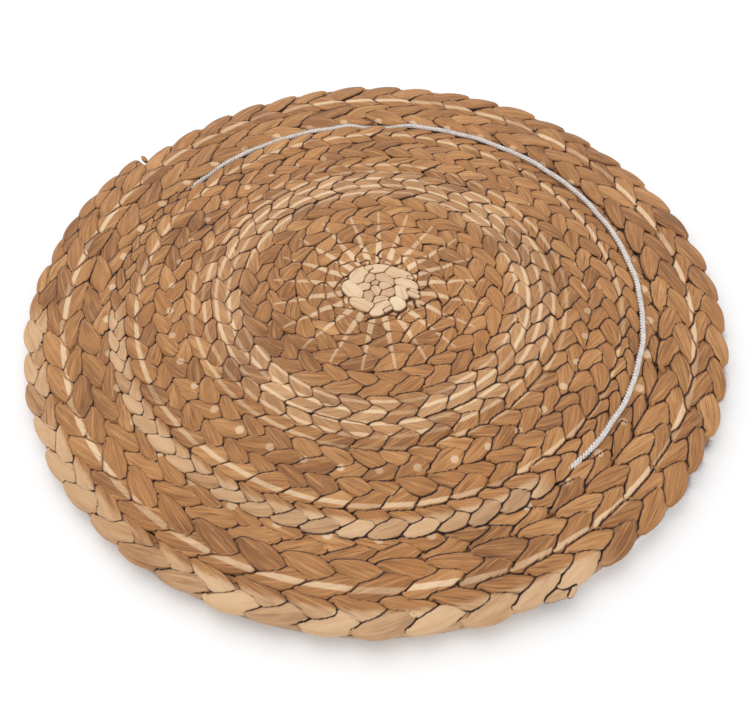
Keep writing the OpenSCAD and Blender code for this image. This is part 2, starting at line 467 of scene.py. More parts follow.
def seamAt(points):
    place = (points[:, :2] + seamMap["reach"]) / seamMap["cell"] - 0.5
    low = np.floor(place).astype(int)
    fx, fy = (place - low).T
    x, y = low.T
    return ((seams[x, y] * (1 - fx) + seams[x + 1, y] * fx) * (1 - fy)
            + (seams[x, y + 1] * (1 - fx) + seams[x + 1, y + 1] * fx) * fy)


# One turn of a coil after another: three strands and the bed under them, as one piece each
def braidCoil(braid, start):
    shape = strandShape(np.random.default_rng(braid["seed"]))
    phiGrid, tGrid = coilGrid(braid)
    fullHalf = (braid["outer"] - braid["inner"]) / braid["turns"] / 2
    sides = len(sectionAngles)
    pieces = []
    for k, node in enumerate(turnNames(start)):
        phi0 = 2 * math.pi * k + (coil["tipCut"] if k == 0 else 0)
        phi1 = 2 * math.pi * (k + 1) - (coil["tipCut"] if k == braid["turns"] else 0)
        t0, t1 = np.interp([phi0, phi1], phiGrid, tGrid)
        count = math.ceil((t1 - t0) / (2 * math.pi) * coil["ringsPerPeriod"]) + 1
        t = np.linspace(t0, t1, count)
        phi = np.interp(t, tGrid, phiGrid)
        points, faces, uv, tone, depth = [], [], [], [], []
        for strand in range(3):
            rings, own, leaf, low = strandRings(braid, phi, t, strand, shape, sectionAngles)
            points.append(rings.reshape(-1, 3))
            faces += tubeFaces(count, sides, strand * count * sides)
            acrossLeaf = np.tile(np.cos(sectionAngles), count) * fullHalf * braid["leafWide"]
            uv.append(np.stack([np.repeat(weaveLength(braid, own), sides), acrossLeaf + strand * 0.1], 1))
            tone.append(np.repeat(shape["tone"][strand][leaf % len(shape["tone"][strand])], sides))
            depth.append(low.ravel() / mm)
        bedPoints, bedFaces = braidBed(braid, phi, count * sides * 3)
        points.append(bedPoints)
        faces += bedFaces
        acrossBed = np.tile([-0.9, 0.9, 0.9, -0.9], count) * fullHalf
        uv.append(np.stack([np.repeat(weaveLength(braid, t), 4), acrossBed + 0.4], 1))
        tone.append(np.full(len(bedPoints), 0.3))
        # Painted shade on the bed under the strands, less on the outer side of the rim, which is in the open
        inTheOpen = braid["openRim"] and k == braid["turns"]
        depth.append(np.tile([1.1, 0.3, 0.3, 1.1] if inTheOpen else [1.1] * 4, count))
        points = np.concatenate(points)
        layers = {"tone": np.concatenate(tone), "depth": np.concatenate(depth), "seam": seamAt(points)}
        piece = addMesh(node + "_braid", points, faces, layers, np.concatenate(uv))
        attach(piece, "root")
        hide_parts(node)
        pieces.append(piece)
    return pieces


# Single scraps of leaf, which make the pale start and the loose ends
scraps = {
    # x, y, length and width in mm, and the direction it points in, in degrees
    "ring": ((-11.6, 8.6, 15.5, 10.8, 62), (0.3, 13.9, 15, 8.2, 4), (11.3, 10.3, 18.5, 9, -21),
             (16.6, 2.2, 15.5, 8, -31), (13.4, -4.6, 12.5, 8.2, -80), (10.8, -13.2, 11, 9.2, -62),
             (1.4, -16.6, 16, 9, 40), (-9.6, -13.4, 16.5, 9, -30), (-15.2, -2.4, 17, 11, -55),
             (-5.6, 14.2, 8, 6, 20), (19.2, -6.2, 12, 3.4, -27), (20.5, -3.4, 8, 2.6, -34),
             (17.6, 7.4, 7.5, 3, -22), (5.2, -17.8, 7, 3, 34)),
    "knot": ((3.3, 6.2, 14.5, 9.4, -41), (-5.4, 6.2, 10, 7.6, 55), (-8.7, -0.8, 9.6, 8.2, 15),
             (-1.9, -2.8, 9.6, 6.2, -62), (3.5, 0.5, 8.4, 7, -30), (5.8, -5.0, 10.6, 7.2, 25),
             (-5.9, -7.6, 9.8, 7, -75), (1.4, -10.4, 10.6, 6.6, 10), (-1.8, 2.2, 6, 5, 20)),
    "tuck": ((4.5, 20.6, 16, 6.4, -8), (14.4, 17.4, 15, 6.6, -42), (21.5, 9.5, 13, 5.4, -66),
             (-6.5, 20.2, 12, 5, 14)),
    "tail": ((-162.0, 120.5, 7.5, 3.0, 128),),
    "stub": ((81.5, -184.0, 17, 5.8, 22), (88.0, -182.6, 8, 3.4, 52)),
    "thick": 4.6 * mm,
    "narrow": 4,                # a scrap of the start this narrow, in mm, is half as thick and lies lower
    "longer": 1.07,             # the start's scraps are drawn out by this and by "wider", to overlap
    "wider": 1.10,
    "proud": 0.5 * mm,          # how far the highest scraps rise past the braid
    "seed": 5,
}
# How high the start's scraps stand, as a share of "proud", and for the loose ends how far the middle of
# a scrap lies under the top of the braid, and how thick it is
startGroups = (("start_ring_leaves", scraps["ring"], 0.5),
               ("start_knot_leaves", scraps["knot"], 0.1))
looseEnds = (("field_start_tuck", scraps["tuck"], 2.9 * mm, 4.4 * mm),
             ("border_tail", scraps["tail"], 4.5 * mm, 3 * mm),
             ("border_stub", scraps["stub"], 3.6 * mm, 3.2 * mm))


def scrapMeasures(row, z, thick, rng):
    x, y, long, wide, turn = row
    bend, lean, skew = rng.normal(size=3) * (0.07, 0.08, 0.10)
    return {"x": x * mm, "y": y * mm, "z": z, "long": long * mm, "wide": wide * mm, "thick": thick,
            "turn": math.radians(turn), "bend": bend, "lean": lean, "skew": skew,
            "dents": rng.normal(size=(4, 3)), "tone": rng.random()}


# A scrap is a ball drawn out, flattened and pinched towards its ends; in place, and in its own directions
def scrapPoints(ball, m):
    px, py, pz = ball.T
    around = np.sqrt(np.maximum(1 - px * px, 1e-9))
    full = np.sqrt(np.maximum(1 - np.abs(px) ** 2.6, 0)) * (np.abs(px) < 0.9999)
    cy, cz = py / around, pz / around
    squared = (np.abs(cy) ** 2.8 + np.abs(cz) ** 2.8) ** (-1 / 2.8)
    fy, fz = cy * squared * full, cz * squared * full ** 0.6
    fy = fy * (1 + m["skew"] * px)
    for dx, dy, dz in m["dents"]:
        fz = fz + 0.03 * np.sin(dx * 2.5 * px + dy * 6 * fy + dz * 4) * full
    fy = fy + m["bend"] * (px * px - 0.4)
    fz = fz - 0.08 * px * px + m["lean"] * fy
    local = np.stack([px * m["long"] / 2, fy * m["wide"] / 2, fz * m["thick"] / 2], 1)
    c, s = math.cos(m["turn"]), math.sin(m["turn"])
    x = local[:, 0] * c - local[:, 1] * s + m["x"]
    y = local[:, 0] * s + local[:, 1] * c + m["y"]
    return np.stack([x, y, local[:, 2] + m["z"]], 1), local


def leafScrap(name, m):
    bpy.ops.object.select_all(action="DESELECT")
    bpy.ops.mesh.primitive_uv_sphere_add(segments=40, ring_count=26, radius=1, rotation=(0, math.pi / 2, 0))
    scrap = bpy.context.object
    scrap.name = name
    bpy.ops.object.transform_apply(location=False, rotation=True, scale=False)
    count = len(scrap.data.vertices)
    ball = np.zeros(count * 3)
    scrap.data.vertices.foreach_get("co", ball)
    points, local = scrapPoints(ball.reshape(-1, 3), m)
    scrap.data.vertices.foreach_set("co", points.ravel())
    bpy.ops.object.shade_smooth()
    # depth under a scrap's top sets how much painted shade it gets
    values = {"tone": np.full(count, m["tone"]), "seam": seamAt(points),
              "depth": np.maximum(m["z"] + m["thick"] / 2 - points[:, 2], 0) / mm}
    for key, value in values.items():
        scrap.data.attributes.new(key, "FLOAT", "POINT").data.foreach_set("value", value)
    corners = np.zeros(len(scrap.data.loops), int)
    scrap.data.loops.foreach_get("vertex_index", corners)
    flat = local[corners, :2] + np.array([m["x"], m["y"]]) * 3
    scrap.data.uv_layers[0].data.foreach_set("uv", flat.ravel())
    scrap.data.uv_layers[0].name = "UVMap"
    scrap.data.update()
    return scrap


scrapPlan = {}
planRng = np.random.default_rng(scraps["seed"])
for group, rows, lift in startGroups:
    scrapPlan[group] = []
    for x, y, long, wide, turn in rows:
        narrow = wide <= scraps["narrow"]
        thick = scraps["thick"] * (0.5 if narrow else 1)
        top = float(braidTop) + scraps["proud"] * (lift + 0.5 * planRng.random()) - (0.3 * mm if narrow else 0)
        row = x, y, long * scraps["longer"], wide * scraps["wider"], turn
        scrapPlan[group].append(scrapMeasures(row, top - thick / 2, thick, planRng))
for group, rows, below, thick in looseEnds:
    scrapPlan[group] = [scrapMeasures(row, float(braidTop) - below, thick, planRng) for row in rows]

# The map is filled with the scraps and the braids before any piece is made
turns = np.linspace(0, 2 * math.pi, 140, endpoint=False)
slices = np.linspace(-1, 1, 121)
sliceR = np.sqrt(1 - slices ** 2)
unitBall = np.stack([np.repeat(slices, len(turns)), np.outer(sliceR, np.cos(turns)).ravel(),
                     np.outer(sliceR, np.sin(turns)).ravel()], 1)
allScraps = [measures for plan in scrapPlan.values() for measures in plan]
for k, measures in enumerate(allScraps):
    points, local = scrapPoints(unitBall[unitBall[:, 2] > 0], measures)
    crown = 0.6 * mm * (local[:, 1] * 2 / measures["wide"]) ** 2
    layDown(points, points[:, 2] - crown, np.full(len(points), -1 - k))
for k, braid in enumerate((fieldBraid, borderBraid)):
    layDownBraid(braid, k)
seams = seamsFromAbove()
print("seams between", len(allScraps), "scraps and the leaves of both braids found")


def joined(name, pieces):
    bpy.ops.object.select_all(action="DESELECT")
    for piece in pieces:
        piece.select_set(True)
    bpy.context.view_layer.objects.active = pieces[0]
    bpy.ops.object.join()
    bpy.context.object.name = name
    return bpy.context.object


# Something for the scraps of the start to lie on
def startBed(radius):
    bpy.ops.object.select_all(action="DESELECT")
    low, high = float(braidLow) + 0.2 * mm, float(braidTop) - 2.0 * mm
    bpy.ops.mesh.primitive_cylinder_add(vertices=48, radius=radius, depth=high - low,
                                        location=(0, 0, (high + low) / 2))
    bed = bpy.context.object
    bpy.ops.object.modifier_add(type="BEVEL")
    bed.modifiers[0].width = 1 * mm
    bed.modifiers[0].segments = 3
    bpy.ops.object.modifier_apply(modifier=bed.modifiers[0].name)
    bpy.ops.object.transform_apply(location=True, rotation=False, scale=False)
    # painted shade all over the bed under the start's scraps
    depth = bed.data.attributes.new("depth", "FLOAT", "POINT")
    depth.data.foreach_set("value", [1.5] * len(bed.data.vertices))
    return bed


beds = {"start_ring_leaves": startR, "start_knot_leaves": knotR}
groups = []
for group, plan in scrapPlan.items():
    pieces = [leafScrap(group + str(k), measures) for k, measures in enumerate(plan)]
    if group in beds:
        pieces.append(startBed(float(beds[group]) - 0.6 * mm))
    groups.append(joined(group, pieces))
    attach(groups[-1], "root")
startRing, startKnot, startTuck, tail, stub = groups
for piece, node in ((startRing, "start_ring"), (startKnot, "start_knot")):
    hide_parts(node)
print("start and loose ends made")

fieldPieces = braidCoil(fieldBraid, "field_turn_")
borderPieces = braidCoil(borderBraid, "border_turn_")
print("braid", len(fieldPieces), "field turns and", len(borderPieces), "border turns")


# Two or three plies laid round each other along a path, as one mesh
def twistedYarn(path, closed, plies, plyRadius, layRadius, turns, sides, phase=0.0):
    n = len(path)
    along, across, up = pathFrame(path, closed)
    share = np.arange(n) / (n if closed else n - 1)
    taper = np.ones(n) if closed else np.clip(np.sin(np.pi * (0.04 + 0.92 * share)) * 3, 0.3, 1)
    ring = np.linspace(0, 2 * math.pi, sides, endpoint=False)
    section = (across[:, None, :] * np.cos(ring)[None, :, None] + up[:, None, :] * np.sin(ring)[None, :, None])
    points, faces = [], []
    for ply in range(plies):
        turn = 2 * math.pi * (turns * share + ply / plies) + phase
        middle = path + layRadius * (across * np.cos(turn)[:, None] + up * np.sin(turn)[:, None])
        rings = middle[:, None, :] + plyRadius * taper[:, None, None] * section
        points.append(rings.reshape(-1, 3))
        faces += tubeFaces(n, sides, ply * n * sides, closed)
    return np.concatenate(points), faces


# Short hairs, each a closed spike that bends once
def hairs(roots, directions, lengths, width, bend):
    n = len(roots)
    side = np.cross(directions, [0.31, 0.17, 0.93])
    side /= np.linalg.norm(side, axis=1)[:, None]
    other = np.cross(directions, side)
    middle = roots + directions * lengths[:, None] * 0.55 + bend * lengths[:, None] * 0.3
    tip = roots + directions * lengths[:, None] + bend * lengths[:, None]
    rings = []
    for centre, thick in ((roots, width), (middle, width * 0.7)):
        for k in range(3):
            a = 2 * math.pi * k / 3
            rings.append(centre + (side * math.cos(a) + other * math.sin(a)) * thick / 2)
    points = np.stack(rings + [tip], 1)
    shape = [(2, 1, 0), (0, 1, 4, 3), (1, 2, 5, 4), (2, 0, 3, 5), (3, 4, 6), (4, 5, 6), (5, 3, 6)]
    faces = [[7 * i + v for v in face] for i in range(n) for face in shape]
    return points.reshape(-1, 3), faces


def together(points, faces, morePoints, moreFaces):
    base = len(points)
    return np.concatenate([points, morePoints]), list(faces) + [[base + v for v in f] for f in moreFaces]


# Directions out from the pad's middle and round it, at some angles
def outAndRound(a):
    return np.stack([np.cos(a), np.sin(a), 0 * a], 1), np.stack([-np.sin(a), np.cos(a), 0 * a], 1)


# The white cord: three plies of cotton with hairs
cotton = {
    "plies": 3,
    "plyRadius": 0.78 * mm,
    "layRadius": 0.74 * mm,
    "twist": 6.5 * mm,          # length of one whole turn of the plies
    "highAngle": math.radians(40),
    "buriedFrom": (132, 142),   # degrees, where it goes down between the rows, and where it comes up again
    "buriedTo": (303, 313),
    "buried": 1.5 * mm,
    "dipAt": 90,                # degrees, where the field's rows close over it for a short way
    "dip": 2.6 * mm,
    "hairCount": 9000,
    "hairLength": 1.3 * mm,
    "hairWide": 0.13 * mm,
    "seed": 31,
}
cordLow, cordHigh = boxOf("white_cord")
cordLowZ = cordLow[2] + cordWide / 2
cordHighZ = cordHigh[2] - cordWide / 2


def cordPoint(a):
    z = (cordLowZ + cordHighZ) / 2 + (cordHighZ - cordLowZ) / 2 * np.cos(a - cotton["highAngle"])
    at = np.degrees(a) % 360
    z = z - cotton["buried"] * smooth(at, *cotton["buriedFrom"]) * (1 - smooth(at, *cotton["buriedTo"]))
    z = z - cotton["dip"] * np.exp(-((at - cotton["dipAt"]) / 6) ** 4)
    r = cordRingR + 0.22 * mm * np.sin(a * 23 + 1) + 0.16 * mm * np.sin(a * 41)
    return np.stack([r * np.cos(a), r * np.sin(a), z + 0.1 * mm * np.sin(a * 31)], 1)


def cordYarn():
    path = cordPoint(np.linspace(0, 2 * math.pi, 1500, endpoint=False))
    turns = round(2 * math.pi * float(cordRingR) / cotton["twist"])
    return twistedYarn(path, True, cotton["plies"], cotton["plyRadius"], cotton["layRadius"], turns, 8)


def cordHairs():
    rng = np.random.default_rng(cotton["seed"])
    a = rng.random(cotton["hairCount"]) * 2 * math.pi
    lean = rng.normal(size=len(a)) * 0.9
    out, forward = outAndRound(a)
    way = out * np.sin(lean)[:, None] + np.array([0, 0, 1.0]) * np.cos(lean)[:, None]
    roots = cordPoint(a) + way * (cotton["plyRadius"] + cotton["layRadius"]) * 0.8
    way = way + forward * rng.normal(size=len(a))[:, None] * 0.9
    way /= np.linalg.norm(way, axis=1)[:, None]
    lengths = cotton["hairLength"] * (0.4 + 0.8 * rng.random(len(a)))
    bend = forward * rng.normal(size=len(a))[:, None] * 0.5
    return hairs(roots, way, lengths, cotton["hairWide"], bend)


cottonCord = addMesh("white_cord_yarn", *together(*cordYarn(), *cordHairs()))
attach(cottonCord, "root")
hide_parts("white_cord")
print("cord made")


# The felt backing, its fringe and the stitches in it
felt = {
    "shift": 2.2 * mm,
    "shiftAngle": math.radians(35),
    "thick": boxOf("felt_backing")[1][2],
    "pressed": 1.3 * mm,        # how deep the seams are pulled into it
    "rimStitches": 72,
    "rimInset": 12 * mm,
    "stitch": 9 * mm,
    "threadWide": 1.2 * mm,
    "ringPitch": 13.5 * mm,
    "ringInset": 8 * mm,
    "segments": 360,
    "fringeFrom": -52,          # degrees
    "fringeTo": 132,
    "fringeFade": 12,
    "fringeHairs": 13000,
    "fringeLength": 6.0 * mm,
    "fringeWide": 0.16 * mm,
    "seed": 41,
}
feltMid = np.array([math.cos(felt["shiftAngle"]), math.sin(felt["shiftAngle"])]) * felt["shift"]
feltR = float(rimR)
ringSeams = (float(startR + fieldR) / 2, float(fieldR) - felt["ringInset"])
rimSeamR = feltR - felt["rimInset"]
seamZ = felt["threadWide"] / 2 + seamGap


# The felt's rings of points, as radius and height: over the top and the rolled edge, then inwards
# underneath, closely where the seams are
def feltRows():
    edge = felt["thick"]
    over = [(share * feltR, z) for share, z in (
        (0.15, edge), (0.6, edge), (0.9, edge), (0.985, edge), (0.995, edge * 0.86), (1.0, edge * 0.6),
        (0.999, edge * 0.3), (0.992, 0.05 * mm))]
    under = {196 * mm, 165 * mm, 115 * mm, 50 * mm, 20 * mm}
    under |= {rimSeamR + k * 2.4 * mm for k in range(-3, 4)}
    under |= {r + k * 1.1 * mm for r in ringSeams for k in range(-2, 3)}
    return over, [(r, 0.0) for r in sorted(under, reverse=True)]


def feltMesh():
    edge, count = felt["thick"], felt["segments"]
    j = np.arange(count)
    a = 2 * math.pi * j / count
    onStitch = j % (count // felt["rimStitches"]) == 0
    over, under = feltRows()
    points = []
    for k, (r, z) in enumerate(over + under):
        bumpy = 0.08 * mm * np.sin(a * 17 + r * 900) * np.sin(a * 5 + 1) if z > edge * 0.5 else 0 * a
        height = np.full(count, z) - np.abs(bumpy)
        rr = np.full(count, r)
        if k >= len(over):
            for seam in ringSeams:
                height = height + felt["pressed"] * math.exp(-((r - seam) / (1.0 * mm)) ** 2)
            near = max(0.0, 1 - abs(r - rimSeamR) / (felt["stitch"] * 0.62)) ** 0.5
            height = height + felt["pressed"] * near * onStitch
        else:
            rr = rr + (0.35 * mm * np.sin(a * 29 + 2) + 0.25 * mm * np.sin(a * 61)) * (r > feltR * 0.95)
        x, y = feltMid * (r > 150 * mm)
        points.append(np.stack([rr * np.cos(a) + x, rr * np.sin(a) + y, np.maximum(height, 0)], 1))
    rings = len(points)
    points = np.concatenate(points + [np.array([[0, 0, edge], [0, 0, 0]])])
    faces = []
    for k in range(rings - 1):
        for i in range(count):
            n = (i + 1) % count
            faces.append([k * count + i, (k + 1) * count + i, (k + 1) * count + n, k * count + n])
    last = (rings - 1) * count
    top, bottom = len(points) - 2, len(points) - 1
    faces += [[top, i, (i + 1) % count] for i in range(count)]
    faces += [[bottom, last + (i + 1) % count, last + i] for i in range(count)]
    return points, faces


# Fibres that stand out from the felt's edge on the side where it shows past the rim
def feltFringe():
    rng = np.random.default_rng(felt["seed"])
    first, last, fadeOver = felt["fringeFrom"], felt["fringeTo"], felt["fringeFade"]
    at = first + (last - first) * rng.random(felt["fringeHairs"])
    a = np.radians(at)
    fade = smooth(at, first, first + fadeOver) * (1 - smooth(at, last - fadeOver, last))
    out, forward = outAndRound(a)
    up = np.array([0, 0, 1.0])
    z = felt["thick"] * (0.25 + 0.7 * rng.random(len(a)))
    r = feltR - 1.2 * mm + 0.8 * mm * rng.random(len(a))
    roots = out * r[:, None] + np.array([feltMid[0], feltMid[1], 0]) + up * z[:, None]
    tuft = 0.65 + 0.35 * np.sin(a * 57 + 3 * np.sin(a * 11))
    lengths = felt["fringeLength"] * (0.45 + 0.75 * rng.random(len(a))) * tuft * (0.3 + 0.7 * fade)
    way = out + forward * rng.normal(size=len(a))[:, None] * 0.35
    way = way + up * (0.15 + 0.35 * rng.random(len(a)))[:, None]
    way /= np.linalg.norm(way, axis=1)[:, None]
    bend = forward * rng.normal(size=len(a))[:, None] * 0.35 + np.array([0, 0, -0.18])
    points, faces = hairs(roots, way, lengths, felt["fringeWide"], bend)
    points[:, 2] = np.maximum(points[:, 2], 0.05 * mm)
    return points, faces


feltSheet = addMesh("felt_sheet", *feltMesh())
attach(feltSheet, "root")
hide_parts("felt_backing")
fringe = addMesh("felt_fringe", *feltFringe())
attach(fringe, "root")


def stitchMesh(paths):
    wide = felt["threadWide"]
    mesh = np.zeros((0, 3)), []
    for k, path in enumerate(paths):
        mesh = together(*mesh, *twistedYarn(path, False, 2, wide * 0.27, wide * 0.22, 3, 6, k * 1.7))
    return mesh


# Where stitches run: across the rim seam, and along the two ring seams. Their ends go up into the felt.
stitchShare = np.linspace(0, 1, 13)
stitchZ = seamZ + 0.25 * mm - 0.5 * mm * np.sin(np.pi * stitchShare)


def rimPaths():
    r = rimSeamR + (stitchShare - 0.5) * felt["stitch"]
    for i in range(felt["rimStitches"]):
        a = felt["shiftAngle"] + 2 * math.pi * i / felt["rimStitches"]
        yield np.stack([feltMid[0] + r * math.cos(a), feltMid[1] + r * math.sin(a), stitchZ], 1)


def ringPaths():
    for r in ringSeams:
        count = math.floor(2 * math.pi * r / felt["ringPitch"])
        for i in range(count):
            a = 2 * math.pi * i / count + stitchShare * felt["stitch"] / r
            yield np.stack([r * np.cos(a), r * np.sin(a), stitchZ], 1)


rimThread = addMesh("felt_rim_thread", *stitchMesh(rimPaths()))
ringThread = addMesh("felt_ring_thread", *stitchMesh(ringPaths()))
for piece, node in ((rimThread, "felt_rim_stitches"), (ringThread, "felt_ring_stitches")):
    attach(piece, "root")
    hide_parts(node)
print("felt, fringe and stitches made")


# A socket that can be reckoned with
class Wire:
    def __init__(self, surface, socket):
        self.surface = surface
        self.socket = socket

    def maths(self, operation, *values):
        return self.surface.node("ShaderNodeMath", {"operation": operation}, dict(enumerate(values)))[0]

    def __add__(self, other):
        return self.maths("ADD", self, other)

    def __radd__(self, other):
        return self.maths("ADD", other, self)

    def __sub__(self, other):
        return self.maths("SUBTRACT", self, other)

    def __rsub__(self, other):
        return self.maths("SUBTRACT", other, self)

    def __mul__(self, other):
        return self.maths("MULTIPLY", self, other)

    def __rmul__(self, other):
        return self.maths("MULTIPLY", other, self)

    def __truediv__(self, other):
        return self.maths("DIVIDE", self, other)

    def __pow__(self, other):
        return self.maths("POWER", self, other)

    def __abs__(self):
        return self.maths("ABSOLUTE", self)


# A material with one shader, and the nodes that its pattern needs
class Surface:
    def __init__(self, name):
        self.material = bpy.data.materials.new(name)
        self.material.use_nodes = True
        self.tree = self.material.node_tree
        self.shader = self.tree.nodes["Principled BSDF"]

    def node(self, kind, settings=None, values=None):
        made = self.tree.nodes.new(kind)
        for key, value in (settings or {}).items():
            setattr(made, key, value)
        for key, value in (values or {}).items():
            if isinstance(value, Wire):
                self.tree.links.new(value.socket, made.inputs[key])
            else:
                made.inputs[key].default_value = value
        return [Wire(self, socket) for socket in made.outputs]

    def mix(self, amount, first, second):
        return self.node("ShaderNodeMix", {"data_type": "RGBA"}, {0: amount, 6: first, 7: second})[2]

    def between(self, value, low, high):
        return self.node("ShaderNodeMapRange", {"interpolation_type": "SMOOTHSTEP"},
                         {0: value, 1: low, 2: high, 3: 0.0, 4: 1.0})[0]

    def noise(self, where, scale, detail=3.0, rough=0.5):
        return self.node("ShaderNodeTexNoise", {}, {"Vector": where, "Scale": scale, "Detail": detail,
                                                    "Roughness": rough})[0]

    def stretch(self, where, size):
        return self.node("ShaderNodeMapping", {}, {"Vector": where, "Scale": size})[0]

    def attribute(self, name):
        return self.node("ShaderNodeAttribute", {"attribute_name": name})[2]

    def uvPlace(self):
        return self.node("ShaderNodeTexCoord")[2]

    def objectPlace(self):
        return self.node("ShaderNodeTexCoord")[3]

    def set(self, **fixed):
        for key, value in fixed.items():
            self.shader.inputs[key.replace("_", " ")].default_value = value

    def feed(self, key, value):
        self.tree.links.new(value.socket, self.shader.inputs[key])

    def bump(self, height, strength, distance):
        self.feed("Normal", self.node("ShaderNodeBump", {}, {"Height": height, "Strength": strength,
                                                             "Distance": distance})[0])


# A colour given as 0 to 255
def paint(red, green, blue):
    shares = [c / 255 for c in (red, green, blue)]
    return (*(c / 12.92 if c <= 0.04045 else ((c + 0.055) / 1.055) ** 2.4 for c in shares), 1)


# The dried leaf, the bleached marks on it, and the painted shade in the hollows between and under leaves
leafLook = {
    "dark": paint(122, 76, 40),
    "middle": paint(168, 115, 66),
    "light": paint(206, 154, 100),
    "warm": paint(178, 117, 62),
    "crack": paint(96, 58, 34),
    # painted shade for the hollows between and under leaves
    "creaseShade": paint(44, 24, 22),
    "cream": paint(232, 203, 166),
    "creamEdge": paint(214, 178, 138),
    "creamFibre": paint(186, 140, 96),
    "creaseShadeFrom": 0.80,         # painted shade starts this many mm under the top of a leaf
    "creaseShadeTo": 1.70,
    # radius and width in mm and strength of each bleached ring
    "borderRings": ((182.8, 3.0, 0.9),),
    "fieldRings": ((142.2, 2.6, 0.75), (110.2, 2.2, 0.6), (103.1, 2.2, 0.75), (95.9, 2.2, 0.9),
                   (88.9, 2.2, 0.9), (82.2, 2.0, 0.7)),
    # radius of each ring of dots, and half the width of a dot
    "borderDots": (158.0, 2.9),
    "fieldDots": (122.7, 2.35),
    "dotStep": 9.0,             # degrees from dot to dot
    "rayCount": 21,
    "rayFrom": 19.0,
    "rayTo": 63.0,
    "fieldEdge": 149.0,         # from this radius outwards the leaves are cream on the near left side
    "rimEdge": 192.5,
}
# Colours of the bleached start; the last of each is painted shade for its hollows
knotColours = {"dark": paint(196, 156, 118), "light": paint(220, 186, 150), "fibre": paint(176, 130, 90),
               "creaseShade": paint(84, 52, 34)}
ringColours = {"dark": paint(216, 184, 146), "light": paint(234, 208, 174), "fibre": paint(196, 152, 108),
               "creaseShade": paint(128, 90, 60)}


# What a leaf's colour depends on: noises drawn out along it, its own tone, and where it lies on the pad
def leafClues(s):
    uv, spot = s.uvPlace(), s.objectPlace()
    x, y, z = s.node("ShaderNodeSeparateXYZ", {}, {0: spot})
    return {
        "tone": s.attribute("tone"),
        "depth": s.attribute("depth"),
        "seam": s.attribute("seam"),
        "radius": (x * x + y * y) ** 0.5 * 1000,
        "degrees": x.maths("ARCTAN2", y, x) * (180 / math.pi),
        "broad": s.noise(s.stretch(uv, (45, 260, 1)), 1.0, 3, 0.6),
        "grain": s.noise(s.stretch(uv, (70, 1500, 1)), 1.0, 4, 0.65),
        "fine": s.noise(s.stretch(uv, (160, 4200, 1)), 1.0, 2, 0.5),
        "streak": s.noise(s.stretch(uv, (38, 640, 1)), 1.0, 3, 0.55),
        "hair": s.noise(s.stretch(uv, (50, 2600, 1)), 1.0, 2, 0.5),
        "crack": s.noise(s.stretch(uv, (55, 900, 1)), 1.0, 2, 0.4),
        "patch": s.noise(spot, 22.0, 3, 0.55),
        "blotch": s.noise(spot, 120.0, 3, 0.6),
    }


def bleachedColour(s, clue, colours):
    shade = clue["broad"] * 0.5 + clue["tone"] * 0.5
    colour = s.mix(s.between(shade, 0.25, 0.75), colours["dark"], colours["light"])
    colour = s.mix(s.between(clue["streak"], 0.50, 0.66) * 0.55, colour, colours["fibre"])
    return s.mix(s.between(clue["grain"], 0.54, 0.70) * 0.50, colour, colours["fibre"])


def driedColour(s, clue):
    look = leafLook
    shade = clue["broad"] * 0.55 + clue["tone"] * 0.30 + clue["patch"] * 0.35 - 0.10
    colour = s.mix(s.between(shade, 0.22, 0.52), look["dark"], look["middle"])
    colour = s.mix(s.between(shade, 0.50, 0.80), colour, look["light"])
    colour = s.mix(s.between(clue["patch"], 0.50, 0.72) * 0.5, colour, look["warm"])
    # for streaks, grain and hairs: where the dark ones begin and end, how dark, and the same for light ones
    for kind, darkFrom, darkTo, darken, lightFrom, lightTo, lighten in (
            ("streak", 0.52, 0.66, 0.50, 0.34, 0.47, 0.50), ("grain", 0.55, 0.72, 0.45, 0.30, 0.45, 0.35),
            ("hair", 0.56, 0.66, 0.40, 0.34, 0.42, 0.40)):
        colour = s.mix(s.between(clue[kind], darkFrom, darkTo) * darken, colour, look["dark"])
        colour = s.mix((1 - s.between(clue[kind], lightFrom, lightTo)) * lighten, colour, look["light"])
    return s.mix(s.between(clue["crack"], 0.64, 0.70) * 0.65, colour, look["crack"])


# Bleached rings, shifted a little from leaf to leaf
def ringMarks(s, clue, colour, rings):
    mask = None
    for ringR, wide, strength in rings:
        off = clue["radius"] + clue["blotch"] * 1.2 - 0.6 + (clue["tone"] - 0.5) * 1.6 - ringR
        band = (1 - s.between(abs(off), wide * 0.34, wide * 0.60)) * strength
        mask = band if mask is None else mask.maths("MAXIMUM", mask, band)
    leafByLeaf = s.between(clue["tone"] * 0.7 + clue["blotch"] * 0.4, 0.15, 0.75) * 0.68 + 0.32
    return s.mix(mask * clue["worn"] * leafByLeaf * clue["apart"], colour, leafLook["cream"])


def dotMarks(s, clue, colour, dotR, size):
    step = leafLook["dotStep"]
    turn = clue["degrees"] / step
    off = (turn - turn.maths("ROUND", turn)) * (step * math.pi / 180) * dotR
    radius = clue["radius"]
    gap = (off * off + (radius - dotR) * (radius - dotR)) ** 0.5
    dot = 1 - s.between(gap + clue["blotch"] * 1.6 - 0.8, size * 0.70, size * 1.08)
    return s.mix(dot * clue["worn"] * (0.34 + 0.44 * clue["tone"]), colour, leafLook["cream"])


# Rays that get narrower and weaker outwards, and a paler band further out
def rayMarks(s, clue, colour):
    look, radius = leafLook, clue["radius"]
    step = 360 / look["rayCount"]
    turn = (clue["degrees"] - 90) / step
    off = abs(turn - turn.maths("ROUND", turn)) * (step * math.pi / 180) * radius
    out = s.between(radius, look["rayFrom"], look["rayTo"])
    ray = 1 - s.between(off / (1.90 - 1.20 * out), 0.75, 1.25)
    ray = ray * (1 - s.between(radius, look["rayTo"] - 1.5, look["rayTo"] + 1)) * (0.90 - 0.38 * out)
    ray = ray * clue["worn"] * (0.70 + 0.40 * clue["tone"]) * clue["apart"]
    colour = s.mix(ray, colour, look["cream"])
    pale = s.between(radius, 74, 82) * (1 - s.between(radius, 98, 106))
    return s.mix(pale * (0.04 + 0.14 * clue["tone"]), colour, look["cream"])


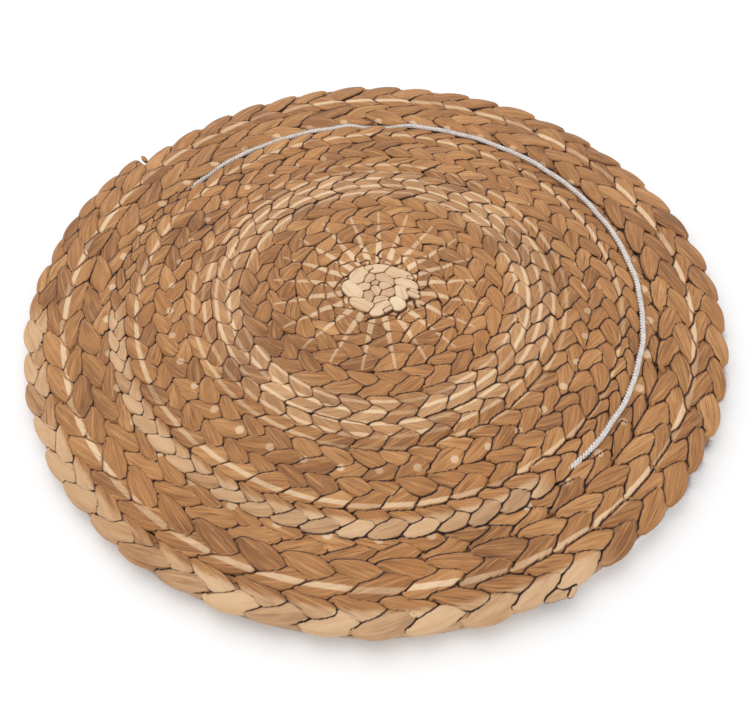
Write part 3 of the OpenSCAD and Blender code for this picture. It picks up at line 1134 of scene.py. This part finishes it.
# The cream edge on the near left side
def edgeMarks(s, clue, colour, edge):
    bearing = clue["degrees"].maths("WRAP", clue["degrees"], 360.0, 0.0)
    side = s.between(bearing, 183, 190) * (1 - s.between(bearing, 298, 305))
    rim = s.between(clue["radius"] + clue["blotch"] * 4 - 2, edge - 1.5, edge + 1.5)
    uneven = 0.24 * s.between(clue["broad"], 0.35, 0.6) + 0.42 * s.between(clue["tone"], 0.2, 0.7)
    pale = side * rim * (0.12 + 0.22 * s.between(bearing, 236, 250) + uneven)
    colour = s.mix(pale, colour, leafLook["creamEdge"])
    return s.mix(pale * s.between(clue["grain"], 0.56, 0.7) * 0.6, colour, leafLook["creamFibre"])


def leafSurface(name, rings=(), dots=None, rays=False, edge=None, bleached=None):
    s = Surface(name)
    clue = leafClues(s)
    if bleached:
        colour = bleachedColour(s, clue, bleached)
    else:
        colour = driedColour(s, clue)
        clue["worn"] = 0.70 + 0.30 * s.between(clue["grain"], 0.35, 0.6)
        clue["apart"] = 1 - s.between(clue["seam"], 0.05, 0.4)      # marks don't cross from leaf to leaf
    if rings:
        colour = ringMarks(s, clue, colour, rings)
    if dots:
        colour = dotMarks(s, clue, colour, *dots)
    if rays:
        colour = rayMarks(s, clue, colour)
    if edge:
        colour = edgeMarks(s, clue, colour, edge)
    # Painted shade: darker where a point lies deep under the top of its leaf, and along the lines between
    # leaves seen from above
    creaseShade = s.between(clue["depth"], leafLook["creaseShadeFrom"], leafLook["creaseShadeTo"])
    line = s.between(clue["seam"] * (0.72 + 0.5 * clue["blotch"]), 0.31, 0.73)
    creaseShade = creaseShade.maths("MAXIMUM", creaseShade, line)
    s.feed("Base Color", s.mix(creaseShade, colour, (bleached or leafLook)["creaseShade"]))
    s.feed("Roughness", 0.50 + 0.22 * clue["grain"] + 0.12 * creaseShade)
    relief = clue["streak"] * 0.9 + clue["grain"] * 0.5 + clue["fine"] * 0.2 + clue["broad"] * 0.5
    s.bump(relief, 0.7, 0.4 * mm)
    s.set(Specular_IOR_Level=0.32, Sheen_Weight=0.08)
    return s.material


# Cotton, felt and thread: soft tufts of two shades
def clothSurface(name, light, dark, scale, rough, sheen, bumpHeight):
    s = Surface(name)
    spot = s.objectPlace()
    tuft = s.noise(spot, scale, 4, 0.65)
    wide = s.noise(spot, scale * 0.12, 2, 0.5)
    s.feed("Base Color", s.mix(s.between(tuft * 0.7 + wide * 0.3, 0.34, 0.62), dark, light))
    s.feed("Roughness", rough + 0.08 * tuft)
    s.bump(tuft, 0.6, bumpHeight)
    s.set(Specular_IOR_Level=0.2, Sheen_Weight=sheen, Sheen_Roughness=0.6)
    return s.material


def dress(pieces, material):
    for piece in pieces:
        piece.data.materials.clear()
        piece.data.materials.append(material)


fieldLeaf = leafSurface("fieldLeaf", leafLook["fieldRings"], leafLook["fieldDots"], rays=True)
outerFieldLeaf = leafSurface("outerFieldLeaf", leafLook["fieldRings"][:1], edge=leafLook["fieldEdge"])
borderLeaf = leafSurface("borderLeaf", leafLook["borderRings"], leafLook["borderDots"])
rimLeaf = leafSurface("rimLeaf", leafLook["borderRings"], edge=leafLook["rimEdge"])
knotLeaf = leafSurface("bleachedKnotLeaf", bleached=knotColours)
ringLeaf = leafSurface("bleachedRingLeaf", bleached=ringColours)
cottonYarn = clothSurface("cottonYarn", paint(238, 233, 229), paint(208, 200, 194), 1800, 0.85, 0.35, 0.2 * mm)
needledFelt = clothSurface("needledFelt", paint(246, 243, 245), paint(230, 225, 230), 900, 0.9, 0.3, 0.3 * mm)
waxedThread = clothSurface("waxedThread", paint(214, 186, 146), paint(168, 136, 98), 2400, 0.55, 0.1, 0.1 * mm)
hidden = [bpy.data.objects[node] for node in ("cord_lacing", "field_seam_stitches", "border_seam_stitches")]
dress(fieldPieces[:-2] + [tail, startTuck], fieldLeaf)
dress(fieldPieces[-2:], outerFieldLeaf)
dress(borderPieces[:-1], borderLeaf)
dress([borderPieces[-1], stub], rimLeaf)
dress([startKnot], knotLeaf)
dress([startRing], ringLeaf)
dress([cottonCord], cottonYarn)
dress([feltSheet, fringe], needledFelt)
dress([rimThread, ringThread] + hidden, waxedThread)
print("materials made")

# Camera, floor and light
view = {
    "place": (-0.0016, -0.3048, 0.3426 + float(braidTop)),
    "tilt": math.radians(36.75),
    "lens": 36.8,
}
studio = {
    "floorLevel": -0.2 * mm,    # just under the felt, so that the two don't share a plane
    "floorWide": 6,
    "floorWhite": 0.94,
    "roomLight": 0.95,
    "lampPlace": (-0.5, 0.6, 1.4),
    "lampTurn": (math.radians(-22), math.radians(-18), 0),
    "lampWide": 1.4,
    "lampPower": 7,
}
bpy.ops.object.camera_add(location=view["place"], rotation=(view["tilt"], 0, 0))
camera = bpy.context.object
camera.data.lens = view["lens"]
camera.data.sensor_width = 36
camera.data.clip_start = 0.01
bpy.context.scene.camera = camera

bpy.ops.mesh.primitive_plane_add(size=studio["floorWide"], location=(0, 0, studio["floorLevel"]))
floor = bpy.context.object
floor.name = "floor"
floorPaint = Surface("floorPaint")
floorPaint.set(Base_Color=(*[studio["floorWhite"]] * 3, 1))
floor.data.materials.append(floorPaint.material)

world = bpy.data.worlds.new("softRoom")
bpy.context.scene.world = world
world.use_nodes = True
world.node_tree.nodes["Background"].inputs["Color"].default_value = (1, 1, 1, 1)
world.node_tree.nodes["Background"].inputs["Strength"].default_value = studio["roomLight"]
bpy.ops.object.light_add(type="AREA", location=studio["lampPlace"], rotation=studio["lampTurn"])
lamp = bpy.context.object
lamp.data.size = studio["lampWide"]
lamp.data.energy = studio["lampPower"]
print("camera, floor and light set")
bpy.context.scene.view_settings.view_transform = "Standard"
